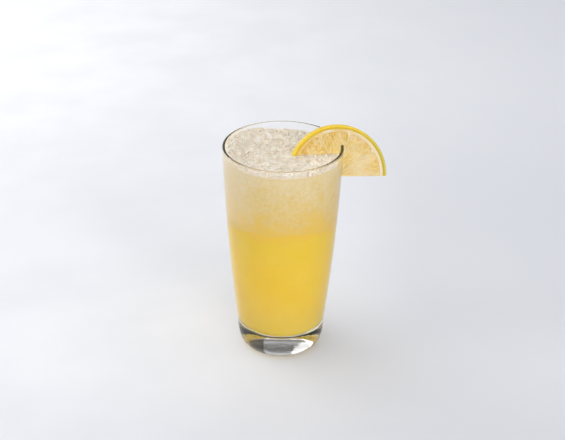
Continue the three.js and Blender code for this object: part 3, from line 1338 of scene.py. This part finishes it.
    def segment_grid(self, index: int, across: int, along: int) -> tuple[Array, Array]:
        """Gives a grid over one segment's face.

        Args:
            index: The segment's number.
            across: Steps from side to side.
            along: Steps from the core to the pith.

        Returns:
            X and Y of the grid's points, each with along + 1 rows.
        """
        share = (1 - np.cos(np.linspace(0, math.pi, across + 1))) / 2
        corner = self.segment_round
        from_side = np.minimum(share, 1 - share) * self.flesh_radius * self.sector
        inset = np.clip(corner - from_side, 0, corner)
        end = self.flesh_radius - corner + np.sqrt(corner**2 - inset**2)
        start = self.core + self.core_gap
        out = np.linspace(0, 1, along + 1)[:, None]
        reach = start + (end[None, :] - start) * out
        first, second = self.side_angles(index, reach)
        angle = first + (second - first) * share[None, :]
        return reach * np.cos(angle), reach * np.sin(angle)

    @staticmethod
    def border(across: int, along: int) -> list[tuple[int, int]]:
        """Goes once round a grid's edge.

        Args:
            across: The grid's steps from side to side.
            along: Its steps from the core to the pith.

        Returns:
            Row and column of each point.
        """
        return (
            [(0, j) for j in range(across)] + [(i, across) for i in range(along)]
            + [(along, j) for j in range(across, 0, -1)] + [(i, 0) for i in range(along, 0, -1)]
        )

    def sacs(self, x: Array, y: Array, index: int, random: Random) -> tuple[Array, Array]:
        """Lays juice sacs over a segment's face: long cells that run from core to pith.

        Args:
            x: The grid's X.
            y: The grid's Y.
            index: The segment's number.
            random: Where its numbers come from.

        Returns:
            How high each point is in its sac, and how much it is on a wall between two.
        """
        middle = self.first_membrane + self.sector * (index + 0.5)
        reach, angle = np.hypot(x, y), np.arctan2(y, x) - middle
        angle = (angle + math.pi) % (2 * math.pi) - math.pi
        side = angle * (reach * self.sac_fan + (1 - self.sac_fan) * self.flesh_radius)
        tree = KDTree(self.sac_count)
        for number in range(self.sac_count):
            seed_reach = self.flesh_radius * math.sqrt(random.uniform(0.01, 1.05))
            seed_side = random.uniform(-0.5, 0.5) * seed_reach * self.sector
            tree.insert((seed_side, seed_reach / self.sac_stretch, 0), number)
        tree.balance()
        edge = np.empty(x.size)
        for number, spot in enumerate(zip(side.ravel(), reach.ravel() / self.sac_stretch)):
            near, next_near = tree.find_n((*spot, 0), 2)
            edge[number] = next_near[2] - near[2]
        edge = edge.reshape(x.shape)
        return smooth_step(0, self.sac_round, edge), 1 - smooth_step(*self.sac_wall, edge)

    def ripeness(self, x: Array, y: Array, index: int) -> Array:
        """Gives how golden a segment is: in blots towards the pith, and at its heart.

        Args:
            x: The points' X.
            y: Their Y.
            index: The segment's number.

        Returns:
            The gold's share at each point.
        """
        reach = np.hypot(x, y) / self.flesh_radius
        start, most = self.ripe[index]
        waves = np.sin(x / self.blot_across + index) * np.sin(y / self.blot_up + 2 * index)
        blots = 1 - self.blot_depth * (0.5 - 0.5 * waves)
        patch = smooth_step(start, self.ripe_until, reach) * most * blots
        return np.maximum(patch, self.heart * (1 - smooth_step(*self.heart_reach, reach)))

    def flesh(self, index: int, number: int) -> Object:
        """Builds one segment of flesh.

        Args:
            index: The segment's place round the fruit.
            number: The number in its name.

        Returns:
            The piece.
        """
        random = Random(self.seed + 10 * index)
        across, along = self.face_grid
        x, y = self.segment_grid(index, across, along)
        inside = np.zeros(x.shape, bool)
        inside[1:-1, 1:-1] = True
        golden = self.ripeness(x, y, index)
        sheets, walls, golds = [], [], []
        for front in (True, False):
            dome, wall = self.sacs(x, y, index, random)
            face = np.where(inside, self.sac_relief * (dome - 0.5), 0.0) - self.sunk
            z = face if front else -self.thickness - face
            sheets.append(np.stack([x, y, z], 2).reshape(-1, 3))
            walls.append(wall.ravel())
            golds.append((golden * (1 - self.dome_gold * (1 - dome))).ravel())
        row, size = across + 1, x.size
        grid = [(i * row + j, i * row + j + 1, (i + 1) * row + j + 1, (i + 1) * row + j)
                for i in range(along) for j in range(across)]
        faces = [f[::-1] for f in grid] + [tuple(size + p for p in f) for f in grid]
        edge = [i * row + j for i, j in self.border(across, along)]
        faces += [(a, b, size + b, size + a) for a, b in zip(edge, edge[1:] + edge[:1])]
        piece = self.placed(f"lemon_flesh_{number}", np.vstack(sheets), faces)
        for name, values in (("sac_wall", walls), ("gold", golds)):
            layer = piece.data.attributes.new(name, "FLOAT", "POINT")
            layer.data.foreach_set("value", np.concatenate(values))
        return piece

    def outline(self, index: int) -> list[tuple[float, float]]:
        """Gives X and Y of a segment's outline, once round."""
        x, y = self.segment_grid(index, *self.outline_grid)
        return [(x[spot], y[spot]) for spot in self.border(*self.outline_grid)]

    def pith_web(self) -> Object:
        """Builds the pith ring, the membranes and the core as one body.

        Returns:
            The piece.
        """
        curve = bpy.data.curves.new("lemon_pith", "CURVE")
        curve.dimensions = "2D"
        curve.fill_mode = "BOTH"
        curve.extrude = self.thickness / 2
        turn = np.linspace(*self.arc, self.pith_steps)
        edge = self.radius - self.zest
        rim = pairs(edge * np.cos(turn), edge * np.sin(turn))
        for loop in [rim] + [self.outline(index) for index in self.shown]:
            spline = curve.splines.new("POLY")
            spline.points.add(len(loop) - 1)
            spline.points.foreach_set("co", [c for x, y in loop for c in (x, y, 0, 1)])
            spline.use_cyclic_u = True
        holder = bpy.data.objects.new("pith_outline", curve)
        bpy.context.scene.collection.objects.link(holder)
        graph = bpy.context.evaluated_depsgraph_get()
        mesh = bpy.data.meshes.new_from_object(holder.evaluated_get(graph))
        shape = bmesh.new()
        shape.from_mesh(mesh)
        bmesh.ops.remove_doubles(shape, verts=shape.verts, dist=SAME_POINT)
        points = np.array([v.co[:] for v in shape.verts]) - [0, 0, self.thickness / 2]
        faces = [tuple(v.index for v in f.verts) for f in shape.faces]
        shape.free()
        bpy.data.objects.remove(holder)
        bpy.data.curves.remove(curve)
        piece = self.placed("lemon_pith", points, faces)
        piece.data.shade_flat()
        return piece

    def build(self) -> list[Object]:
        """Builds the slice's pieces, cuts the flat edge and the slit, and dresses them.

        Returns:
            The pieces.
        """
        peel, web = self.peel(), self.pith_web()
        flesh = [self.flesh(index, number) for number, index in enumerate(self.shown, 1)]
        tools = self.tools()
        for piece in (peel, web, *flesh):
            for tool in tools:
                cut(piece, tool)
        for tool in tools:
            bpy.data.objects.remove(tool)
        dress(peel, LemonPeel().material(), Slot.ZEST, "lemon_slice")
        pith = LemonPith().material(self.place.centre, self.flesh_radius)
        dress(web, pith, Slot.PITH, "lemon_slice")
        juicy = LemonFlesh().material()
        for piece in flesh:
            dress(piece, juicy, Slot.FLESH, "lemon_slice")
        return [peel, web, *flesh]


def around_glass(bearing: float, rise: float, away: float) -> Vector:
    """Gives a place around the glass.

    Args:
        bearing: Degrees clockwise from straight behind the glass, seen from above.
        rise: Degrees above the floor.
        away: How far it is.

    Returns:
        The place.
    """
    turn, lift = math.radians(bearing), math.radians(rise)
    flat = math.cos(lift)
    return Vector((math.sin(turn) * flat, math.cos(turn) * flat, math.sin(lift))) * away


@dataclass(frozen=True)
class SoftLamp:
    """A rectangular lamp that shines at the glass."""

    name: str
    place: Vector
    size: tuple[float, float]
    power: float
    tint: tuple[float, float, float]
    lean: float = 0.0

    def hang(self, aim: Vector) -> None:
        """Hangs the lamp, turned by its lean in its own plane.

        Args:
            aim: What it shines at.
        """
        data = bpy.data.lights.new(self.name, "AREA")
        data.shape, data.energy, data.color = "RECTANGLE", self.power, self.tint
        data.size, data.size_y = self.size
        holder = bpy.data.objects.new(self.name, data)
        bpy.context.scene.collection.objects.link(holder)
        holder.location = self.place
        look = (aim - self.place).to_track_quat("-Z", "Y").to_matrix()
        holder.rotation_euler = (look @ Matrix.Rotation(self.lean, 3, "Z")).to_euler()


@dataclass
class Studio:
    """Floor, soft light and the camera.

    The room is a list of degrees above the horizon with the light that comes from there.
    """

    aim: Vector = field(default_factory=lambda: Vector((0.32, 0, 94.4)) * MM)
    distance: float = 0.8781
    elevation: float = math.radians(28.72)
    roll: float = math.radians(0.774)
    lens: float = 82.83
    sensor: float = 36.0
    clip: tuple[float, float] = (0.01, 20)
    floor_half: float = 4.0
    floor_drop: float = 0.1 * MM
    lamp_aim: Vector = field(default_factory=lambda: Vector((0, 0, 0.08)))
    sky_strength: float = 1.2
    sky_tint: Colour = (0.955, 0.975, 1.0, 1.0)
    corner_across: Ramp = Ramp(0.25, 0.27)
    corner_behind: Ramp = Ramp(0.0, 0.2)
    corner_up: Ramp = Ramp(0.7, 0.9, 0.8, 0.0)
    room: tuple[tuple[float, float], ...] = (
        (0, 0.6), (4, 0.55), (8, 0.02), (20, 0.1), (25, 0.45), (28, 0.46), (29.5, 0.38),
        (31, 0.22), (32.5, 0.12), (33.4, 0.07), (35, 0.2), (36, 0.33), (37.2, 0.4), (38.2, 0.2),
        (42, 0.16), (46, 0.75), (54, 1.05),
    )

    def floor(self) -> None:
        """Lays the floor just under the glass."""
        half = self.floor_half
        corners = np.array([(-half, -half, 0), (half, -half, 0), (half, half, 0), (-half, half, 0)])
        piece = show("floor", corners - [0, 0, self.floor_drop], [(0, 1, 2, 3)])
        piece.data.materials.append(PaleFloor().material())

    def camera(self) -> None:
        """Sets the camera up at the picture's angle."""
        data = bpy.data.cameras.new("camera")
        data.lens, data.sensor_width = self.lens, self.sensor
        data.clip_start, data.clip_end = self.clip
        holder = bpy.data.objects.new("camera", data)
        bpy.context.scene.collection.objects.link(holder)
        back = Vector((0, -math.cos(self.elevation), math.sin(self.elevation)))
        look = (-back).to_track_quat("-Z", "Y").to_matrix().to_4x4()
        spin = Matrix.Rotation(self.roll, 4, "Z")
        holder.matrix_world = Matrix.Translation(self.aim + back * self.distance) @ look @ spin
        bpy.context.scene.camera = holder

    def sky(self) -> None:
        """Surrounds the scene with a soft room, in bands of light with one shaded corner."""
        world = bpy.data.worlds.new("room")
        bpy.context.scene.world = world
        world.use_nodes = True
        world.node_tree.nodes.clear()
        sheet = NodeSheet(world.node_tree)
        way = sheet.node("ShaderNodeTexCoord").outputs["Generated"]
        across, behind, up = (sheet.along(axis, way) for axis in "XYZ")
        stops = [(math.sin(math.radians(rise)), level) for rise, level in self.room]
        corner = sheet.ramp(across, self.corner_across)
        corner = sheet.times(corner, sheet.ramp(behind, self.corner_behind))
        corner = sheet.times(corner, sheet.ramp(up, self.corner_up))
        light = sheet.times(sheet.curve(up, stops), sheet.math("SUBTRACT", 1.0, corner))
        light = sheet.times(light, self.sky_strength)
        back = sheet.node("ShaderNodeBackground", {"Color": self.sky_tint, "Strength": light})
        sheet.node("ShaderNodeOutputWorld", {"Surface": back.outputs[0]})

    def lamps(self) -> list[SoftLamp]:
        """Gives the lamps: two behind the glass at the left, and one in front at the right.

        Returns:
            The lamps.
        """
        warm, plain = (1.0, 0.995, 0.98), (1.0, 1.0, 1.0)
        return [
            SoftLamp("window", around_glass(-73, 36, 1.15), (1.25, 1.25), 5.8, warm),
            SoftLamp("ledge", around_glass(-42, 23, 1.15), (1.05, 0.75), 1.9, warm,
                     lean=math.radians(14)),
            SoftLamp("fill", Vector((0.75, -1.6, 0.7)), (1.2, 1.2), 14.0, plain),
        ]

    def build(self) -> None:
        """Builds the floor, the camera and the lights."""
        self.floor()
        self.camera()
        self.sky()
        for lamp in self.lamps():
            lamp.hang(self.lamp_aim)
        bpy.context.scene.view_settings.view_transform = "Standard"


def main() -> None:
    """Builds everything in order."""
    logging.basicConfig(level=logging.INFO, format="%(name)s: %(message)s")
    _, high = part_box("glass")
    glass = Tumbler(height=high.z, rim_radius=high.x)
    drink = Drink(glass)
    place = SliceFrame()
    glass.build()
    drink.build()
    CrushedIce(glass, drink, place).build()
    LemonSlice(glass, place).build()
    Studio().build()


if __name__ == "__main__":
    main()
